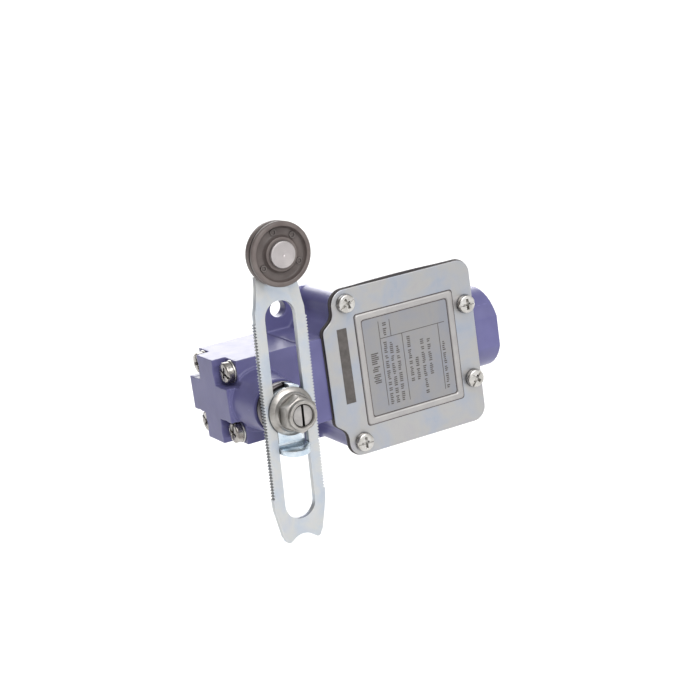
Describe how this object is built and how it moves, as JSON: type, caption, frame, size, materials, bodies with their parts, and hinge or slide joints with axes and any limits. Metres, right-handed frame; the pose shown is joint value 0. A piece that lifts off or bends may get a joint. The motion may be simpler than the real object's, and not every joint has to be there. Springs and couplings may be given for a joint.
{
  "type": "limit switch",
  "caption": "Limit switch with a die-cast body, square rotary head and a slotted, length-adjustable roller lever.",
  "frame": {"origin": "midway between the two mounting holes, on the back mounting plane", "axes": "+X from the rotary head to the cable entry, +Z from the shaft to the roller, -Y the front, where the cover and the lever are"},
  "size_m": [0.096, 0.0539, 0.0944],
  "materials": {
    "casting_paint": "satin blue-violet enamel on die-cast zinc",
    "seal_rubber": "matt moulded rubber",
    "cover_steel": "satin sheet steel",
    "screw_steel": "bright plated steel",
    "earth_screw_steel": "green plated steel",
    "bronze": "sintered bronze",
    "pressed_steel": "pressed zinc-plated steel",
    "spring_steel": "drawn wire",
    "rod_plastic": "moulded acetal",
    "shaft_steel": "turned steel",
    "clamp_steel": "turned nickel-plated steel",
    "nut_steel": "nickel-plated steel",
    "lever_steel": "zinc-plated steel with a faint iridescence",
    "roller_plastic": "moulded thermoplastic",
    "block_plastic": "moulded thermoset",
    "block_cover_plastic": "moulded thermoset",
    "contact_brass": "stamped brass",
    "contact_silver": "silver rivets"
  },
  "bodies": {
    "switch_body": {"body_casing": "casting_paint", "cover_gasket": "seal_rubber", "cover_plate": "cover_steel", "cover_screws": "screw_steel", "head_casing": "casting_paint", "head_gasket": "seal_rubber", "head_screws": "screw_steel", "head_screw_washers": "screw_steel", "shaft_bush": "bronze", "shaft_seal": "seal_rubber", "rear_bush": "bronze", "spring_cup": "pressed_steel", "return_spring": "spring_steel", "block_base": "block_plastic", "block_cover": "block_cover_plastic", "block_screws": "screw_steel", "bridge_spring": "spring_steel", "fixed_contact_nc_top": "contact_brass", "fixed_contact_nc_bottom": "contact_brass", "fixed_contact_no_top": "contact_brass", "fixed_contact_no_bottom": "contact_brass", "fixed_tips": "contact_silver", "terminal_clamps": "screw_steel", "terminal_screws": "screw_steel", "earth_clamp": "screw_steel", "earth_screw": "earth_screw_steel"},
    "shaft_and_clamp": {"drive_shaft": "shaft_steel", "cam": "shaft_steel", "cam_pin": "shaft_steel", "shaft_clip": "spring_steel", "lever_hub": "clamp_steel", "clamp_plate": "lever_steel", "flange_nut": "nut_steel"},
    "lever_arm": {"lever": "lever_steel", "roller_pin": "shaft_steel"},
    "roller": {"roller": "roller_plastic"},
    "push_rod": {"push_rod": "rod_plastic"},
    "contact_plunger": {"contact_plunger": "rod_plastic", "overtravel_spring": "spring_steel"},
    "moving_bridge": {"moving_bridge": "contact_brass", "bridge_tips": "contact_silver"}
  },
  "joints": [
    {"name": "lever_swing", "type": "hinge", "parent": "switch_body", "child": "shaft_and_clamp", "pos_m": [-0.0206, -0.013, 0], "axis": [0, 1, 0], "range_deg": [-70, 70], "stiffness_Nm_per_rad": 0.2},
    {"name": "lever_reach", "type": "slide", "parent": "shaft_and_clamp", "child": "lever_arm", "axis": [0.0419, 0, 0.9991], "range_m": [-0.022, 0.016]},
    {"name": "roller_spin", "type": "hinge", "parent": "lever_arm", "child": "roller", "pos_m": [-0.01867, -0.0485, 0.04606], "axis": [0, 1, 0], "continuous": true},
    {"name": "push_rod_travel", "type": "slide", "parent": "switch_body", "child": "push_rod", "axis": [1, 0, 0], "range_m": [0, 0.0034], "stiffness_N_per_m": 1200, "springref_m": -0.003, "deforming": ["return_spring"]},
    {"name": "plunger_travel", "type": "slide", "parent": "switch_body", "child": "contact_plunger", "axis": [1, 0, 0], "range_m": [0, 0.0034], "deforming": ["overtravel_spring"]},
    {"name": "bridge_travel", "type": "slide", "parent": "switch_body", "child": "moving_bridge", "axis": [1, 0, 0], "range_m": [0, 0.0024], "deforming": ["bridge_spring", "overtravel_spring"]}
  ],
  "couplings": [
    {"joint": "plunger_travel", "follows": "push_rod_travel", "ratio": 1},
    {"joint": "bridge_travel", "follows": "push_rod_travel", "ratio": 0.7}
  ]
}
